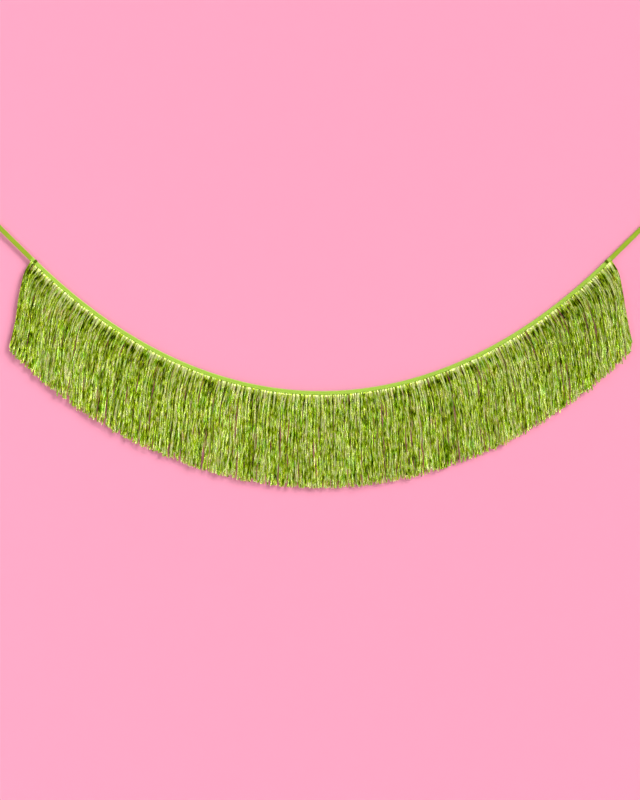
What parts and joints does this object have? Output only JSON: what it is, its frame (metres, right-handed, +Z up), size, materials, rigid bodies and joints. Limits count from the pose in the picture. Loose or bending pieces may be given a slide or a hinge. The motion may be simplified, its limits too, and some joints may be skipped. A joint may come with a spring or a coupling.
{
  "type": "fringe banner",
  "caption": "Metallic slit-film fringe hanging in a swag from a folded satin ribbon, with a knotted hanging loop at each end.",
  "frame": {"origin": "on the wall, midway between the two hanging points and level with them", "axes": "+Z up, +X to the right seen from the front, +Y from the front of the banner into the wall"},
  "size_m": [1.4258, 0.0111, 0.5849],
  "materials": {
    "film": "metallised film, mirror-like lime green with a crinkle",
    "satin_ribbon": "satin weave, lime green",
    "thread": "matt thread, dark green"
  },
  "bodies": {
    "ribbon": {"header_ribbon": "satin_ribbon", "film_head": "film", "left_bar_tack": "thread", "left_ribbon_tail": "satin_ribbon", "left_knot": "satin_ribbon", "left_hanging_loop": "satin_ribbon", "right_bar_tack": "thread", "right_ribbon_tail": "satin_ribbon", "right_knot": "satin_ribbon", "right_hanging_loop": "satin_ribbon"},
    "section_01": {"section_01_front_ply": "film", "section_01_back_ply": "film"},
    "section_02": {"section_02_front_ply": "film", "section_02_back_ply": "film"},
    "section_03": {"section_03_front_ply": "film", "section_03_back_ply": "film"},
    "section_04": {"section_04_front_ply": "film", "section_04_back_ply": "film"},
    "section_05": {"section_05_front_ply": "film", "section_05_back_ply": "film"},
    "section_06": {"section_06_front_ply": "film", "section_06_back_ply": "film"},
    "section_07": {"section_07_front_ply": "film", "section_07_back_ply": "film"},
    "section_08": {"section_08_front_ply": "film", "section_08_back_ply": "film"},
    "section_09": {"section_09_front_ply": "film", "section_09_back_ply": "film"},
    "section_10": {"section_10_front_ply": "film", "section_10_back_ply": "film"},
    "section_11": {"section_11_front_ply": "film", "section_11_back_ply": "film"},
    "section_12": {"section_12_front_ply": "film", "section_12_back_ply": "film"}
  },
  "joints": [
    {"name": "section_01_swing", "type": "hinge", "parent": "ribbon", "child": "section_01", "pos_m": [-0.56949, -0.005, -0.14117], "axis": [-0.742, 0, 0.6704], "range_deg": [-35, 35]},
    {"name": "section_02_swing", "type": "hinge", "parent": "ribbon", "child": "section_02", "pos_m": [-0.4807, -0.005, -0.214], "axis": [-0.8042, 0, 0.5944], "range_deg": [-35, 35]},
    {"name": "section_03_swing", "type": "hinge", "parent": "ribbon", "child": "section_03", "pos_m": [-0.38454, -0.005, -0.27708], "axis": [-0.8669, 0, 0.4984], "range_deg": [-35, 35]},
    {"name": "section_04_swing", "type": "hinge", "parent": "ribbon", "child": "section_04", "pos_m": [-0.2812, -0.005, -0.32791], "axis": [-0.925, 0, 0.3799], "range_deg": [-35, 35]},
    {"name": "section_05_swing", "type": "hinge", "parent": "ribbon", "child": "section_05", "pos_m": [-0.17163, -0.005, -0.36383], "axis": [-0.971, 0, 0.2392], "range_deg": [-35, 35]},
    {"name": "section_06_swing", "type": "hinge", "parent": "ribbon", "child": "section_06", "pos_m": [-0.05773, -0.005, -0.38249], "axis": [-0.9966, 0, 0.0819], "range_deg": [-35, 35]},
    {"name": "section_07_swing", "type": "hinge", "parent": "ribbon", "child": "section_07", "pos_m": [0.05773, -0.005, -0.38249], "axis": [-0.9966, 0, -0.0819], "range_deg": [-35, 35]},
    {"name": "section_08_swing", "type": "hinge", "parent": "ribbon", "child": "section_08", "pos_m": [0.17163, -0.005, -0.36383], "axis": [-0.971, 0, -0.2392], "range_deg": [-35, 35]},
    {"name": "section_09_swing", "type": "hinge", "parent": "ribbon", "child": "section_09", "pos_m": [0.2812, -0.005, -0.32791], "axis": [-0.925, 0, -0.3799], "range_deg": [-35, 35]},
    {"name": "section_10_swing", "type": "hinge", "parent": "ribbon", "child": "section_10", "pos_m": [0.38454, -0.005, -0.27708], "axis": [-0.8669, 0, -0.4984], "range_deg": [-35, 35]},
    {"name": "section_11_swing", "type": "hinge", "parent": "ribbon", "child": "section_11", "pos_m": [0.4807, -0.005, -0.214], "axis": [-0.8042, 0, -0.5944], "range_deg": [-35, 35]},
    {"name": "section_12_swing", "type": "hinge", "parent": "ribbon", "child": "section_12", "pos_m": [0.56949, -0.005, -0.14117], "axis": [-0.742, 0, -0.6704], "range_deg": [-35, 35]}
  ]
}
